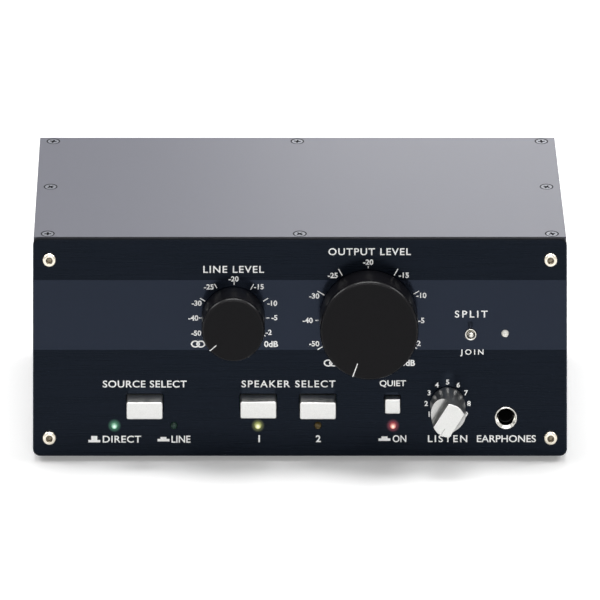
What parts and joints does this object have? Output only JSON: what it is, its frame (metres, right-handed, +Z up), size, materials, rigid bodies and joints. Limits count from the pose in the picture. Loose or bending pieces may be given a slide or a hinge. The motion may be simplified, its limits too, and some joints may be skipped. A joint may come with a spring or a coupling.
{
  "type": "studio monitor controller",
  "caption": "Desktop monitor controller: a box with volume knobs, source and speaker push keys, a mono toggle, a headphone output and rear sockets.",
  "frame": {"origin": "middle of the overall footprint, on the surface that the rubber feet stand on", "axes": "+X to the user's right, along the case's width; -Y towards the user, out of the front panel; +Z up"},
  "size_m": [0.22, 0.1224, 0.0915],
  "materials": {
    "black_anodised_panel": "satin black anodised and printed",
    "grey_painted_steel": "fine satin grey paint",
    "black_painted_steel": "fine textured black paint",
    "nickel_fasteners": "nickel plated",
    "grey_screws": "satin grey",
    "zinc_hardware": "zinc plated",
    "black_screws": "black oxide",
    "black_knob_plastic": "satin black",
    "satin_chrome_plastic": "satin chrome plated plastic",
    "black_rubber": "matt",
    "black_plastic": "moulded",
    "white_plastic": "moulded",
    "gold_contacts": "gold plated",
    "pot_cans": "plated steel",
    "green_circuit_board": "solder mask",
    "ribbon_grey": "vinyl",
    "capacitor_sleeve": "sleeved aluminium can",
    "green_lamp": "clear green epoxy",
    "amber_lamp": "clear amber epoxy",
    "red_lamp": "clear red epoxy",
    "white_lamp": "milky epoxy"
  },
  "bodies": {
    "case": {"amplifier_chips": "black_plastic", "aux_jack": "black_plastic", "aux_pot": "pot_cans", "board_headers": "black_plastic", "board_screws": "zinc_hardware", "board_standoffs": "zinc_hardware", "capacitors": "capacitor_sleeve", "chassis": "black_painted_steel", "clinch_nuts": "zinc_hardware", "control_board": "green_circuit_board", "cover_screws": "grey_screws", "front_panel": "black_anodised_panel", "input_aux_lamp": "green_lamp", "input_main_lamp": "green_lamp", "input_sockets": "black_plastic", "input_switch": "black_plastic", "jack_ring": "nickel_fasteners", "lamp_holders": "black_plastic", "main_pot": "pot_cans", "mute_lamp": "red_lamp", "mute_switch": "black_plastic", "output_1_lamp": "amber_lamp", "output_1_switch": "black_plastic", "output_2_lamp": "amber_lamp", "output_2_switch": "black_plastic", "output_contacts": "gold_contacts", "output_sockets": "black_plastic", "panel_screws": "nickel_fasteners", "phones_jack": "black_plastic", "phones_pot": "pot_cans", "phones_pot_nut": "zinc_hardware", "pot_nuts": "zinc_hardware", "pot_washers": "zinc_hardware", "power_inlet": "black_plastic", "power_lamp": "white_lamp", "rear_board": "green_circuit_board", "rear_panel": "black_painted_steel", "rear_screws": "black_screws", "ribbon_cable": "ribbon_grey", "rubber_feet": "black_rubber", "socket_screws": "black_screws", "toggle_switch": "nickel_fasteners", "top_cover": "grey_painted_steel"},
    "main_volume": {"main_shaft": "zinc_hardware", "main_knob": "black_knob_plastic", "main_grub_screw": "zinc_hardware"},
    "aux_volume": {"aux_shaft": "zinc_hardware", "aux_knob": "black_knob_plastic", "aux_grub_screw": "zinc_hardware"},
    "phones_volume": {"phones_shaft": "zinc_hardware", "phones_knob": "satin_chrome_plastic"},
    "toggle": {"toggle_lever": "nickel_fasteners"},
    "input_button": {"input_key": "satin_chrome_plastic", "input_plunger": "white_plastic"},
    "output_1_button": {"output_1_key": "satin_chrome_plastic", "output_1_plunger": "white_plastic"},
    "output_2_button": {"output_2_key": "satin_chrome_plastic", "output_2_plunger": "white_plastic"},
    "mute_button": {"mute_key": "satin_chrome_plastic", "mute_plunger": "white_plastic"}
  },
  "joints": [
    {"name": "main_volume_turn", "type": "hinge", "parent": "case", "child": "main_volume", "pos_m": [0.0283, -0.0453, 0.0586], "axis": [0, 1, 0], "range_deg": [0, 300]},
    {"name": "aux_volume_turn", "type": "hinge", "parent": "case", "child": "aux_volume", "pos_m": [-0.0275, -0.0453, 0.0589], "axis": [0, 1, 0], "range_deg": [-19, 281]},
    {"name": "phones_volume_turn", "type": "hinge", "parent": "case", "child": "phones_volume", "pos_m": [0.0608, -0.0453, 0.0235], "axis": [0, 1, 0], "range_deg": [0, 300]},
    {"name": "toggle_flip", "type": "hinge", "parent": "case", "child": "toggle", "pos_m": [0.0703, -0.0441, 0.0523], "axis": [1, 0, 0], "range_deg": [0, 34]},
    {"name": "input_press", "type": "slide", "parent": "case", "child": "input_button", "axis": [0, 1, 0], "range_m": [0, 0.003], "stiffness_N_per_m": 400},
    {"name": "output_1_press", "type": "slide", "parent": "case", "child": "output_1_button", "axis": [0, 1, 0], "range_m": [-0.0007, 0.0023], "stiffness_N_per_m": 400},
    {"name": "output_2_press", "type": "slide", "parent": "case", "child": "output_2_button", "axis": [0, 1, 0], "range_m": [0, 0.003], "stiffness_N_per_m": 400},
    {"name": "mute_press", "type": "slide", "parent": "case", "child": "mute_button", "axis": [0, 1, 0], "range_m": [-0.0007, 0.0023], "stiffness_N_per_m": 400}
  ]
}
